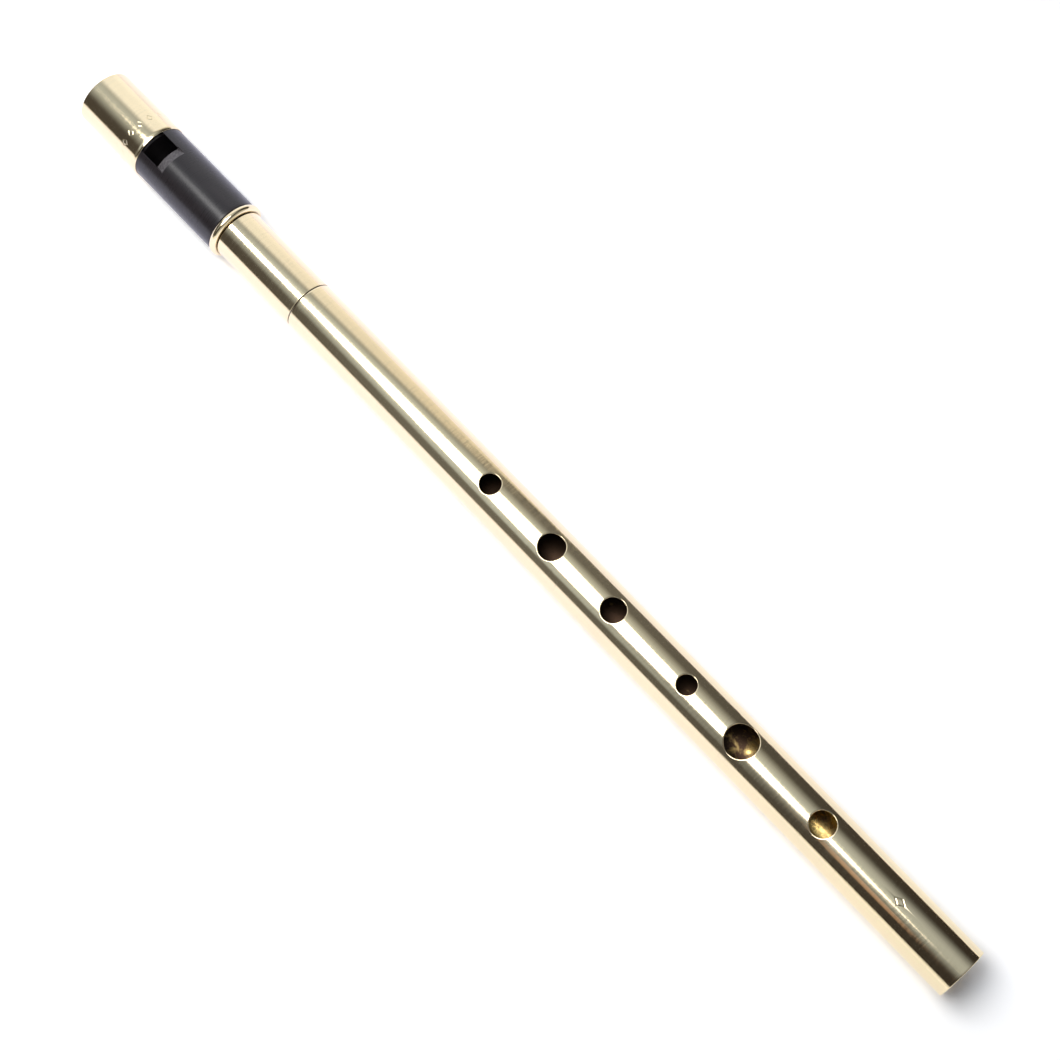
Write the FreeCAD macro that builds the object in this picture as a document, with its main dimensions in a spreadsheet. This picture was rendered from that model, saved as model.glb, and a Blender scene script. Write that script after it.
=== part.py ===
"""Tunable brass tin whistle in C: a black plastic head with brass fittings, and a six-hole tube.

The tube's axis runs along +X from the mouth to the foot, +Z points up through the finger holes,
and the origin is at the bottom centre of the whole whistle. All lengths are in millimetres.
"""

import FreeCAD, Part
import math
import os

import Sketcher
from FreeCAD import Vector

DRIVING_DIMENSIONS = [
    # alias, value, meaning
    ("overallLength", 332.5, "mouth end to foot end"),
    ("tubeRadius", 7.54, "outside of the 19/32 inch tube"),
    ("tubeBore", 7.03, "inside radius of the 19/32 inch tube"),
    ("slideSeat", 7.184, "radius to which the tubes' ends at the seam are reamed for the slide"),
    ("slideRadius", 7.144, "outside of the 9/16 inch slide tube"),
    ("slideBore", 6.788, "inside radius of the 9/16 inch slide tube"),
    ("sleeveRadius", 8.73, "outside of the 11/16 inch mouthpiece sleeve"),
    ("shellRadius", 8.375, "outside of the black head, a push fit in the sleeve"),
    ("headBore", 7.184, "inside radius of the black head, and the plug's outside"),
    ("ringRadius", 8.87, "crown of the bead ring, the widest part of the whistle"),
    ("sleeveLength", 24.2, "mouth end to the sleeve's rim"),
    ("rimRoundLength", 1.2, "how far back the sleeve's rim is rounded"),
    ("rimRoundDrop", 0.2, "how much the rounding lowers the sleeve's rim"),
    ("shellLength", 56.45, "mouth end to the bead ring"),
    ("socketDepth", 14.0, "how far the head tube enters the black head"),
    ("stepRadius", 7.3, "turned-down end of the head tube, in the ring and the black head"),
    ("windowLength", 6.5, "sleeve's rim to the blade edge"),
    ("windowWidth", 7.9, "across the window and the windway"),
    ("rampLength", 2.8, "blade edge to the top of the ramp"),
    ("rampAngle", 59.0, "sector of the ramp about the axis, in degrees"),
    ("lipThickness", 0.15, "thickness of the blade edge"),
    ("plugBevel", 0.4, "bevel round the inner end of the plug"),
    ("ringWidth", 2.24, "width of the bead ring"),
    ("beadRadius", 1.15, "rounding of the bead ring's crown"),
    ("creviceWidth", 0.3, "gap between the bead ring and the head tube's shoulder"),
    ("seamPlace", 89.1, "mouth end to the seam where the tubes part"),
    ("seamGap", 0.25, "gap left at the seam when the whistle is pushed home"),
    ("slideInHead", 27.0, "length of the slide tube in the head tube"),
    ("slideInBody", 25.0, "length of the slide tube in the body tube"),
    ("slideEndGap", 0.3, "room past each end of the slide tube"),
    ("endBevel", 0.12, "bevel on the cut ends of the tubes"),
    ("headTurn", 5.3, "turn of the head against the finger holes at rest, in degrees"),
    ("firstHolePlace", 169.2, "first hole to the foot end"),
    ("secondHolePlace", 145.7, "second hole to the foot end"),
    ("thirdHolePlace", 122.6, "third hole to the foot end"),
    ("fourthHolePlace", 95.9, "fourth hole to the foot end"),
    ("fifthHolePlace", 76.3, "fifth hole to the foot end"),
    ("sixthHolePlace", 48.1, "sixth hole to the foot end"),
    ("firstHoleBore", 5.8, "diameter of the first hole"),
    ("secondHoleBore", 7.4, "diameter of the second hole"),
    ("thirdHoleBore", 6.8, "diameter of the third hole"),
    ("fourthHoleBore", 5.4, "diameter of the fourth hole"),
    ("fifthHoleBore", 9.0, "diameter of the fifth hole"),
    ("sixthHoleBore", 6.9, "diameter of the sixth hole"),
    ("holeRounding", 0.3, "rounding of the finger holes' outer edges"),
    ("cutClearance", 1.0, "how far a cut runs on past the surface"),
]
HOLE_NAMES = ["first", "second", "third", "fourth", "fifth", "sixth"]
SHEET = "Dimensions"
FULL_TURN = 360
ORIGIN = (-1, 1)                # Sketcher's numbers for the origin, the axes and a curve's points
H_AXIS, V_AXIS = -1, -2
START, END, CENTRE = 1, 2, 3


def make_sheet(doc):
    """The driving dimensions, one row each: meaning, value and alias."""
    sheet = doc.addObject("Spreadsheet::Sheet", SHEET)
    for row, (alias, value, meaning) in enumerate(DRIVING_DIMENSIONS, start=1):
        sheet.set(f"A{row}", meaning)
        sheet.set(f"B{row}", str(value))
        sheet.setAlias(f"B{row}", alias)
    doc.recompute()


def bound(formula):
    """Turns $alias in a formula into a reference to the sheet's cell."""
    return formula.replace("$", SHEET + ".")


def value_of(owner, formula):
    """The number that a formula gives, which places new sketch geometry."""
    return float(owner.evalExpression(bound(formula)))


def new_body(doc, label, left_end="0", turn="0"):
    """A body whose own X axis is the whistle's axis, its x = 0 lying left_end from the mouth."""
    body = doc.addObject("PartDesign::Body", label)
    body.Label = label
    body.Placement = FreeCAD.Placement(Vector(), FreeCAD.Rotation(Vector(1, 0, 0), 1))
    body.setExpression("Placement.Base.x", bound(f"{left_end} - $overallLength / 2"))
    body.setExpression("Placement.Base.z", bound("$ringRadius"))
    body.setExpression("Placement.Rotation.Angle", bound(turn))
    return body


def new_sketch(body, name, plane):
    """A sketch on one of the body's own origin planes."""
    sketch = body.newObject("Sketcher::SketchObject", name)
    planes = {feature.Role: feature for feature in body.Origin.OriginFeatures}
    sketch.AttachmentSupport = (planes[plane], [""])
    sketch.MapMode = "FlatFace"
    return sketch


def hold_distance(sketch, kind, geometry, point, formula, name):
    """Holds a point's distance from the origin along X or Y, or on an axis where it is 0."""
    if formula == "0":
        axis = V_AXIS if kind == "DistanceX" else H_AXIS
        sketch.addConstraint(Sketcher.Constraint("PointOnObject", geometry, point, axis))
        return
    distance = value_of(sketch, formula)
    constraint = Sketcher.Constraint(kind, *ORIGIN, geometry, point, distance)
    sketch.renameConstraint(sketch.addConstraint(constraint), name)
    sketch.setExpression(f"Constraints.{name}", bound(formula))


def arc_over(start, end, radius):
    """The arc from end round to start, whose centre lies below the chord."""
    chord = end - start
    rise = math.sqrt(radius ** 2 - (chord.Length / 2) ** 2)
    centre = (start + end) / 2 + Vector(chord.y, -chord.x, 0).normalize() * rise
    circle = Part.Circle(centre, Vector(0, 0, 1), radius)
    return Part.ArcOfCircle(circle, circle.parameter(end), circle.parameter(start))


def draw_outline(sketch, corners, rounded=None, radius="0"):
    """A closed outline through the corners, where the side numbered rounded is an arc."""
    count = len(corners)
    places = [Vector(*(value_of(sketch, formula) for formula in corner), 0) for corner in corners]
    for side, start in enumerate(places):
        end = places[(side + 1) % count]
        if side == rounded:
            sketch.addGeometry(arc_over(start, end, value_of(sketch, radius)))
        else:
            sketch.addGeometry(Part.LineSegment(start, end))
    leaves = [END if side == rounded else START for side in range(count)]
    arrives = [START if side == rounded else END for side in range(count)]
    for side in range(count):
        following = (side + 1) % count
        ends = (side, arrives[side], following, leaves[following])
        sketch.addConstraint(Sketcher.Constraint("Coincident", *ends))
    for side, (along, out) in enumerate(corners):
        hold_distance(sketch, "DistanceX", side, leaves[side], along, f"along{side}")
        hold_distance(sketch, "DistanceY", side, leaves[side], out, f"out{side}")
    if rounded is not None:
        constraint = Sketcher.Constraint("Radius", rounded, value_of(sketch, radius))
        sketch.renameConstraint(sketch.addConstraint(constraint), "rounding")
        sketch.setExpression("Constraints.rounding", bound(radius))


def turn_solid(body, corners, **rounding):
    """Revolves an outline of (along the axis, out from it) about the body's X axis."""
    sketch = new_sketch(body, body.Label + "_profile", "XZ_Plane")
    draw_outline(sketch, corners, **rounding)
    solid = body.newObject("PartDesign::Revolution", body.Label + "_turned")
    solid.Profile = (sketch, [""])
    solid.ReferenceAxis = (sketch, ["H_Axis"])
    solid.Angle = FULL_TURN
    body.Document.recompute()
    return solid


def check_cut(body, feature, base):
    """Stops where a cut has taken nothing off the solid under it."""
    body.Document.recompute()
    taken = base.Shape.Volume - feature.Shape.Volume
    if taken <= 0:
        raise RuntimeError(f"{feature.Name} cuts nothing")
    print(f"{feature.Name} takes away {taken:.1f} mm3")


def cut_up(body, sketch, base, depth):
    """Cuts a sketch on the XY plane upwards from the axis, through the top wall only."""
    pocket = body.newObject("PartDesign::Pocket", sketch.Name.replace("_outline", "_cut"))
    pocket.Profile = (sketch, [""])
    pocket.Type = "Length"
    pocket.Reversed = True
    pocket.setExpression("Length", bound(depth))
    check_cut(body, pocket, base)
    return pocket


def make_mouthpiece_sleeve(doc):
    """Thin brass tube round the mouth end; it roofs the windway and its rim is rounded over."""
    body = new_body(doc, "mouthpiece_sleeve", turn="$headTurn")
    corners = [
        ("0", "$shellRadius"),
        ("0", "$sleeveRadius - $endBevel"),
        ("$endBevel", "$sleeveRadius"),
        ("$sleeveLength - $rimRoundLength", "$sleeveRadius"),
        ("$sleeveLength", "$sleeveRadius - $rimRoundDrop"),
        ("$sleeveLength", "$shellRadius"),
    ]
    rim_radius = "($rimRoundLength ^ 2 + $rimRoundDrop ^ 2) / (2 * $rimRoundDrop)"
    turn_solid(body, corners, rounded=3, radius=rim_radius)


def make_head_shell(doc):
    """Black head: bored through, with a socket for the tube and a slot for windway and window."""
    body = new_body(doc, "head_shell", turn="$headTurn")
    socket_floor = "$shellLength - $socketDepth"
    corners = [
        ("0", "$headBore"),
        ("0", "$shellRadius"),
        ("$shellLength", "$shellRadius"),
        ("$shellLength", "$stepRadius"),
        (socket_floor, "$stepRadius"),
        (socket_floor, "$headBore"),
    ]
    blank = turn_solid(body, corners)
    slot = cut_up(body, draw_slot(body), blank, "$shellRadius + $cutClearance")
    cut_ramp(body, slot)


def draw_slot(body):
    """Straight-sided slot from the mouth end to the blade edge, symmetric about the axis."""
    sketch = new_sketch(body, "window_outline", "XY_Plane")
    blade = "$sleeveLength + $windowLength"
    length = value_of(sketch, blade)
    half = value_of(sketch, "$windowWidth / 2")
    corners = [
        Vector(0, -half, 0),
        Vector(0, half, 0),
        Vector(length, half, 0),
        Vector(length, -half, 0),
    ]
    for side, start in enumerate(corners):
        end = corners[(side + 1) % len(corners)]
        sketch.addGeometry(Part.LineSegment(start, end))
    for side in range(len(corners)):
        following = (side + 1) % len(corners)
        sketch.addConstraint(Sketcher.Constraint("Coincident", side, END, following, START))
    for side in (0, 2):
        sketch.addConstraint(Sketcher.Constraint("Symmetric", side, START, side, END, H_AXIS))
    sketch.addConstraint(Sketcher.Constraint("PointOnObject", 0, START, V_AXIS))
    hold_distance(sketch, "DistanceX", 1, END, blade, "blade")
    width = sketch.addConstraint(Sketcher.Constraint("DistanceY", 0, START, 0, END, 2 * half))
    sketch.renameConstraint(width, "width")
    sketch.setExpression("Constraints.width", bound("$windowWidth"))
    return sketch


def cut_ramp(body, base):
    """Ramp that rises from the blade edge, turned about the axis so that its ends stay square."""
    sketch = new_sketch(body, "ramp_outline", "XZ_Plane")
    blade = "$sleeveLength + $windowLength"
    corners = [
        (blade, "$headBore + $lipThickness"),
        (blade, "$shellRadius + $lipThickness"),
        (f"{blade} + $rampLength", "$shellRadius + $lipThickness"),
        (f"{blade} + $rampLength", "$shellRadius"),
    ]
    draw_outline(sketch, corners)
    groove = body.newObject("PartDesign::Groove", "ramp_cut")
    groove.Profile = (sketch, [""])
    groove.ReferenceAxis = (sketch, ["H_Axis"])
    groove.Midplane = True
    groove.setExpression("Angle", bound("$rampAngle"))
    check_cut(body, groove, base)


def make_fipple_plug(doc):
    """Black plug that fills the bore at the mouth; its top is the floor of the windway."""
    body = new_body(doc, "fipple_plug", turn="$headTurn")
    corners = [
        ("0", "0"),
        ("0", "$headBore"),
        ("$sleeveLength - $plugBevel", "$headBore"),
        ("$sleeveLength", "$headBore - $plugBevel"),
        ("$sleeveLength", "0"),
    ]
    turn_solid(body, corners)


def make_head_ring(doc):
    """Brass bead ring, pressed on the head tube's step against the black head."""
    body = new_body(doc, "head_ring", left_end="$shellLength", turn="$headTurn")
    crown_drop = "($beadRadius - sqrt($beadRadius ^ 2 - ($ringWidth / 2) ^ 2))"
    shoulder = f"$ringRadius - {crown_drop}"
    corners = [
        ("0", "$stepRadius"),
        ("0", shoulder),
        ("$ringWidth", shoulder),
        ("$ringWidth", "$stepRadius"),
    ]
    turn_solid(body, corners, rounded=1, radius="$beadRadius")


def make_head_tube(doc):
    """Short brass tube: turned down for the head and the ring, and reamed for the slide."""
    left_end = "($shellLength - $socketDepth)"
    body = new_body(doc, "head_tube", left_end=left_end, turn="$headTurn")
    length = f"$seamPlace - $seamGap / 2 - {left_end}"
    shoulder = "$socketDepth + $ringWidth + $creviceWidth"
    seat_floor = f"$seamPlace - $slideInHead - $slideEndGap - {left_end}"
    corners = [
        ("0", "$tubeBore"),
        ("0", "$stepRadius"),
        (shoulder, "$stepRadius"),
        (shoulder, "$tubeRadius - $endBevel"),
        (f"{shoulder} + $endBevel", "$tubeRadius"),
        (f"{length} - $endBevel", "$tubeRadius"),
        (length, "$tubeRadius - $endBevel"),
        (length, "$slideSeat"),
        (seat_floor, "$slideSeat"),
        (seat_floor, "$tubeBore"),
    ]
    turn_solid(body, corners)


def make_tuning_slide(doc):
    """Inner brass tube that bridges the seam: the head turns on it, and it slides in the body."""
    body = new_body(doc, "tuning_slide", left_end="$seamPlace - $slideInHead")
    length = "$slideInHead + $slideInBody"
    corners = [
        ("0", "$slideBore"),
        ("0", "$slideRadius - $endBevel"),
        ("$endBevel", "$slideRadius"),
        (f"{length} - $endBevel", "$slideRadius"),
        (length, "$slideRadius - $endBevel"),
        (length, "$slideBore"),
    ]
    turn_solid(body, corners)


def make_body_tube(doc):
    """Long brass tube from the seam to the foot, with the six finger holes."""
    left_end = "($seamPlace + $seamGap / 2)"
    body = new_body(doc, "body_tube", left_end=left_end)
    length = f"$overallLength - {left_end}"
    seat_depth = "$slideInBody + $slideEndGap - $seamGap / 2"
    corners = [
        ("0", "$slideSeat"),
        ("0", "$tubeRadius - $endBevel"),
        ("$endBevel", "$tubeRadius"),
        (f"{length} - $endBevel", "$tubeRadius"),
        (length, "$tubeRadius - $endBevel"),
        (length, "$tubeBore"),
        (seat_depth, "$tubeBore"),
        (seat_depth, "$slideSeat"),
    ]
    blank = turn_solid(body, corners)
    outlines = draw_finger_holes(body, length)
    drilled = cut_up(body, outlines, blank, "$tubeRadius + $cutClearance")
    round_holes(body, drilled)


def draw_finger_holes(body, foot):
    """Six circles on the tube's axis, each placed by its distance from the foot."""
    sketch = new_sketch(body, "finger_holes_outline", "XY_Plane")
    for number, hole in enumerate(HOLE_NAMES):
        place = f"{foot} - ${hole}HolePlace"
        radius = value_of(sketch, f"${hole}HoleBore / 2")
        centre = Vector(value_of(sketch, place), 0, 0)
        sketch.addGeometry(Part.Circle(centre, Vector(0, 0, 1), radius))
        sketch.addConstraint(Sketcher.Constraint("PointOnObject", number, CENTRE, H_AXIS))
        hold_distance(sketch, "DistanceX", number, CENTRE, place, f"{hole}Place")
        index = sketch.addConstraint(Sketcher.Constraint("Diameter", number, 2 * radius))
        sketch.renameConstraint(index, f"{hole}Bore")
        sketch.setExpression(f"Constraints.{hole}Bore", bound(f"${hole}HoleBore"))
    return sketch


def round_holes(body, drilled):
    """Rounds the outer edge of every finger hole."""
    mid_wall = value_of(body, "($tubeBore + $tubeRadius) / 2")
    rims = [
        f"Edge{number}"
        for number, edge in enumerate(drilled.Shape.Edges, start=1)
        if is_hole_rim(edge, mid_wall)
    ]
    rounding = body.newObject("PartDesign::Fillet", "hole_rims")
    rounding.Base = (drilled, rims)
    rounding.setExpression("Radius", bound("$holeRounding"))
    check_cut(body, rounding, drilled)


def is_hole_rim(edge, mid_wall):
    """True for an edge past the middle of the wall, neither straight nor a circle round the tube."""
    if isinstance(edge.Curve, (Part.Line, Part.Circle)):
        return False
    middle = edge.valueAt((edge.FirstParameter + edge.LastParameter) / 2)
    return math.hypot(middle.y, middle.z) > mid_wall


def check_document(doc, bodies):
    """Stops on any failed feature, loose sketch or bad solid."""
    for item in doc.Objects:
        if "Invalid" in item.State or "Error" in item.State:
            raise RuntimeError(f"{item.Name} failed: {item.State}")
        if item.isDerivedFrom("Sketcher::SketchObject") and item.solve() != 0:
            raise RuntimeError(f"{item.Name} does not solve")
    for body in bodies:
        if body.Shape.isNull() or not body.Shape.isValid() or len(body.Shape.Solids) != 1:
            raise RuntimeError(f"{body.Label} is not one sound solid")


def write_parts(bodies):
    """Writes each body to its own STEP file in the whistle's frame."""
    os.makedirs("parts", exist_ok=True)
    for body in bodies:
        body.Shape.exportStep(f"parts/{body.Label}.step")
        box = body.Shape.BoundBox
        print(f"{body.Label}: {body.Shape.Volume:.1f} mm3, x {box.XMin:.2f} to {box.XMax:.2f}")


def main():
    doc = FreeCAD.newDocument("TinWhistle")
    make_sheet(doc)
    make_mouthpiece_sleeve(doc)
    make_head_shell(doc)
    make_fipple_plug(doc)
    make_head_ring(doc)
    make_head_tube(doc)
    make_tuning_slide(doc)
    make_body_tube(doc)
    doc.recompute()
    bodies = [item for item in doc.Objects if item.isDerivedFrom("PartDesign::Body")]
    check_document(doc, bodies)
    write_parts(bodies)


main()
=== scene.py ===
import math

import bmesh
import bpy
import numpy as np
from mathutils import Matrix, Vector


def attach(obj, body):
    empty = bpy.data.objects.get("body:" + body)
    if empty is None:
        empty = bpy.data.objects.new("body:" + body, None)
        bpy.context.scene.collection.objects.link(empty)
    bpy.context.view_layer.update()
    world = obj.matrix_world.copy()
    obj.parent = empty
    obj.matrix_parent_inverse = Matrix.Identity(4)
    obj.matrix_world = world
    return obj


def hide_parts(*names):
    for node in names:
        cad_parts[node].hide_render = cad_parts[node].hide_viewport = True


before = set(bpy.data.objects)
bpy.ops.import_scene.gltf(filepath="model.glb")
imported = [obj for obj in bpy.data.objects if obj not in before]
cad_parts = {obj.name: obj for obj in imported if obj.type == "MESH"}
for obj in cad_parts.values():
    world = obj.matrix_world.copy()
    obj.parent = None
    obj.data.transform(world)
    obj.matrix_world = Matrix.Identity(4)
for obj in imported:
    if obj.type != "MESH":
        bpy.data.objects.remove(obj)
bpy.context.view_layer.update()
print("packed whistle loaded")

mm = 0.001
mergeWithin = 0.0001   # points closer than this become one
slack = 0.01           # how far past an edge points still count as on it

# stations along the whistle and the height of its axis, in mm like every size below
place = {
    "mouth": -166.25,
    "sleeveEnd": -142.05,
    "blade": -135.55,
    "rampEnd": -132.75,
    "socketFloor": -123.8,
    "shellEnd": -109.8,
    "ringEnd": -107.56,
    "slideStart": -104.15,
    "headSeat": -104.45,
    "seam": -77.15,
    "slideEnd": -52.15,
    "bodySeat": -51.85,
    "foot": 166.25,
    "axis": 8.87,
}
headTurn = math.radians(5.3)
cornerRound = {"edge": 0.04, "bevel": 0.1, "bore": 0.03}   # roundings at the ends of the tubes


def onAxis(x, radius, angle):
    # (x, radius, angle) to points: angle 0 points up, and it grows from +Z towards -Y
    return np.stack(
        [x, -radius * np.sin(angle), place["axis"] + radius * np.cos(angle)], axis=-1
    )


def gridQuads(numbers, wrapRows=False, wrapColumns=False):
    # one quad between each four neighbouring numbers of a rows by columns table
    if wrapRows:
        numbers = np.vstack([numbers, numbers[:1]])
    if wrapColumns:
        numbers = np.hstack([numbers, numbers[:, :1]])
    corners = (numbers[:-1, :-1], numbers[1:, :-1], numbers[1:, 1:], numbers[:-1, 1:])
    return np.stack(corners, axis=-1).reshape(-1, 4)


def addPiece(name, points, quads, material, body, node, marks=None, sharpAngle=38,
             fans=None):
    # quads are four numbers a row; fans, where a face narrows to a pole, are three numbers a row
    fans = np.empty((0, 3), dtype=int) if fans is None else fans
    used, compact = np.unique(np.concatenate([quads.ravel(), fans.ravel()]), return_inverse=True)
    faces = compact[:quads.size].reshape(-1, 4).tolist()
    faces += compact[quads.size:].reshape(-1, 3).tolist()
    mesh = bpy.data.meshes.new(name)
    mesh.from_pydata((points[used] * mm).tolist(), [], faces)
    for markName, values in (marks or {}).items():
        layer = mesh.attributes.new(markName, "FLOAT", "POINT")
        layer.data.foreach_set("value", values[used].astype(np.float32))
    work = bmesh.new()
    work.from_mesh(mesh)
    bmesh.ops.remove_doubles(work, verts=work.verts, dist=mergeWithin * mm)
    bmesh.ops.recalc_face_normals(work, faces=work.faces)
    openEdges = sum(1 for edge in work.edges if not edge.is_manifold)
    work.to_mesh(mesh)
    work.free()
    mesh.shade_smooth()
    mesh.set_sharp_from_angle(angle=math.radians(sharpAngle))
    mesh.materials.append(material)
    piece = bpy.data.objects.new(name, mesh)
    bpy.context.collection.objects.link(piece)
    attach(piece, body)
    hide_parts(node)
    print(f"{name}: {len(mesh.polygons)} faces, {openEdges} open edges")
    return piece


def roundCorners(corners, steps=4, hold=0.6, most=0.45):
    # closed outline through (along, out, rounding) corners, each rounded off by an arc that
    # touches both its sides, with one more point past each end of the arc to hold it tight:
    # hold is its distance in roundings, and most its greatest share of the side
    corners = np.array(corners, dtype=float)
    points, rounding = corners[:, :2], corners[:, 2]
    pieces = []
    for here, before, after, radius in zip(
        points, np.roll(points, 1, axis=0), np.roll(points, -1, axis=0), rounding
    ):
        back, ahead = before - here, after - here
        backLength, aheadLength = np.linalg.norm(back), np.linalg.norm(ahead)
        back, ahead = back / backLength, ahead / aheadLength
        if radius == 0:
            pieces.append(here[None])
            continue
        half = math.acos(np.clip(back @ ahead, -1, 1)) / 2
        reach = radius / math.tan(half)
        centre = here + (back + ahead) / np.linalg.norm(back + ahead) * radius / math.sin(half)
        start, end = here + back * reach - centre, here + ahead * reach - centre
        share = np.linspace(0, 1, steps + 1)[:, None]
        sweep = math.pi - 2 * half
        arc = (np.sin((1 - share) * sweep) * start + np.sin(share * sweep) * end) / math.sin(sweep)
        far = reach + hold * radius
        pieces.append((here + back * min(far, most * backLength))[None])
        pieces.append(centre + arc)
        pieces.append((here + ahead * min(far, most * aheadLength))[None])
    return np.vstack(pieces)


def turnedPiece(outline, around, closed=True):
    # an outline of (along, out) carried round the axis, its end joined to its start if closed
    angle = np.linspace(0, 2 * math.pi, around, endpoint=False)
    points = onAxis(
        np.repeat(outline[:, :1], around, axis=1),
        np.repeat(outline[:, 1:], around, axis=1),
        np.repeat(angle[None], len(outline), axis=0),
    )
    numbers = np.arange(points.shape[0] * around).reshape(-1, around)
    return points.reshape(-1, 3), gridQuads(numbers, wrapRows=closed, wrapColumns=True)


def newMaterial(name):
    material = bpy.data.materials.new(name)
    material.use_nodes = True
    tree = material.node_tree
    return material, tree, tree.nodes["Principled BSDF"]


def addNode(tree, kind, inputs=None, **settings):
    node = tree.nodes.new(kind)
    for key, value in settings.items():
        setattr(node, key, value)
    for key, value in (inputs or {}).items():
        if isinstance(value, bpy.types.NodeSocket):
            tree.links.new(value, node.inputs[key])
        else:
            node.inputs[key].default_value = value
    return node


def mathNode(tree, operation, first, second=0.0, third=0.0):
    inputs = {0: first, 1: second, 2: third}
    return addNode(tree, "ShaderNodeMath", inputs, operation=operation).outputs[0]


def rampNode(tree, value, low, high, lowOut=0.0, highOut=1.0):
    inputs = {0: value, 1: low, 2: high, 3: lowOut, 4: highOut}
    return addNode(tree, "ShaderNodeMapRange", inputs).outputs[0]


def colourMix(tree, share, first, second):
    node = addNode(tree, "ShaderNodeMix", data_type="RGBA")
    sockets = (node.inputs[0], node.inputs[6], node.inputs[7])
    for socket, value in zip(sockets, (share, first, second)):
        if isinstance(value, bpy.types.NodeSocket):
            tree.links.new(value, socket)
        else:
            socket.default_value = value
    return node.outputs[2]


def noiseOn(tree, scale, detail=2.0, roughness=0.5, distortion=0.0):
    # noise on Object coordinates, scaled apart along and across the whistle, in cells per metre
    coordinates = addNode(tree, "ShaderNodeTexCoord").outputs["Object"]
    mapped = addNode(tree, "ShaderNodeMapping", {"Vector": coordinates, "Scale": scale})
    inputs = {
        "Vector": mapped.outputs[0],
        "Scale": 1.0,
        "Detail": detail,
        "Roughness": roughness,
        "Distortion": distortion,
    }
    return addNode(tree, "ShaderNodeTexNoise", inputs).outputs["Fac"]


brass = {
    "clean": (0.92, 0.775, 0.50, 1),
    "dulled": (0.78, 0.68, 0.46, 1),
    # dark brown painted into crevices and seams: painted shade, with some dirt
    "paintedShadeAndDirt": (0.09, 0.055, 0.03, 1),
    "bore": (0.88, 0.62, 0.22, 1),
    "boreShadeAndStain": (0.13, 0.078, 0.05, 1),
    "borePale": (0.075, 0.10),         # the painted shade in the bore thins out between these places which adds this to the stain noise, before and after
    "boreThin": (-0.25, 0.12),          # which adds this to the stain noise, before and after
    "boreEdge": (0.42, 0.68),           # where the noise is past these, the painted shade and stain end
    # noises: cells per metre along and across the whistle, detail, roughness and distortion
    "hairlines": ((50, 2600, 2600), 3, 0.6),
    "rounds": ((1500, 130, 130), 2, 0.6),
    "clouds": ((40, 130, 130), 4),
    "stains": ((300, 420, 420), 4, 0.6, 0.3),
    "lineShares": (0.4, 0.6),           # of the hairlines and the rounds
    "cloudDulls": (0.45, 0.75, 0, 0.35),   # from and to these levels, this share of dulled brass
    "linesDull": (0.5, 0.7, 0, 0.25),
    "linesGloss": (0.35, 0.7),
    "gloss": (0.07, 0.17),
    "bump": 0.03,
    "drawnGloss": (0.2, 0.34),
    "drawnBump": 0.04,
    "boreGloss": (0.26, 0.5),
    "bumpStrength": 0.35,
}


def attributeNode(tree, name):
    return addNode(tree, "ShaderNodeAttribute", attribute_name=name).outputs["Fac"]


def makeBrass(name, gloss, bumpDepth):
    # clouds mix clean and dulled brass; hairlines along the tube and finer ones round it set the
    # gloss and a shallow bump; the inside attribute turns the surface into the bore, painted darker
    # towards the head as painted shade; the crevice attribute paints shade, with some dirt, into
    # crevices and seams
    material, tree, shader = newMaterial(name)
    clouds = noiseOn(tree, *brass["clouds"])
    hairlines = noiseOn(tree, *brass["hairlines"])
    rounds = noiseOn(tree, *brass["rounds"])
    inside, paintedShadeAndDirt = attributeNode(tree, "inside"), attributeNode(tree, "paintedShadeAndDirt")
    hairShare, roundShare = brass["lineShares"]
    lines = mathNode(tree, "ADD", mathNode(tree, "MULTIPLY", hairlines, hairShare),
                     mathNode(tree, "MULTIPLY", rounds, roundShare))
    outerColour = colourMix(tree, rampNode(tree, clouds, *brass["cloudDulls"]), brass["clean"],
                            brass["dulled"])
    outerColour = colourMix(tree, rampNode(tree, lines, *brass["linesDull"]), outerColour,
                            brass["dulled"])
    stain = noiseOn(tree, *brass["stains"])
    along = addNode(tree, "ShaderNodeSeparateXYZ",
                    {0: addNode(tree, "ShaderNodeTexCoord").outputs["Object"]}).outputs[0]
    # the bore is painted darker towards the head: painted shade, blotched by the stain noise
    thin = rampNode(tree, along, *brass["borePale"], *brass["boreThin"])
    borePale = rampNode(tree, mathNode(tree, "ADD", thin, stain), *brass["boreEdge"])
    boreColour = colourMix(tree, borePale, brass["boreShadeAndStain"], brass["bore"])
    colour = colourMix(tree, inside, outerColour, boreColour)
    tree.links.new(colourMix(tree, paintedShadeAndDirt, colour, brass["paintedShadeAndDirt"]), shader.inputs["Base Color"])
    outerGloss = rampNode(tree, lines, *brass["linesGloss"], *gloss)
    boreGloss = rampNode(tree, borePale, 1, 0, *brass["boreGloss"])
    glossMix = addNode(tree, "ShaderNodeMix", {0: inside, 2: outerGloss, 3: boreGloss})
    tree.links.new(glossMix.outputs[0], shader.inputs["Roughness"])
    bump = addNode(tree, "ShaderNodeBump", {"Height": lines, "Distance": bumpDepth * mm,
                                            "Strength": brass["bumpStrength"]})
    tree.links.new(bump.outputs[0], shader.inputs["Normal"])
    shader.inputs["Metallic"].default_value = 1.0
    return material


polishedBrass = makeBrass("polishedBrass", brass["gloss"], brass["bump"])
drawnBrass = makeBrass("drawnBrass", brass["drawnGloss"], brass["drawnBump"])

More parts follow.
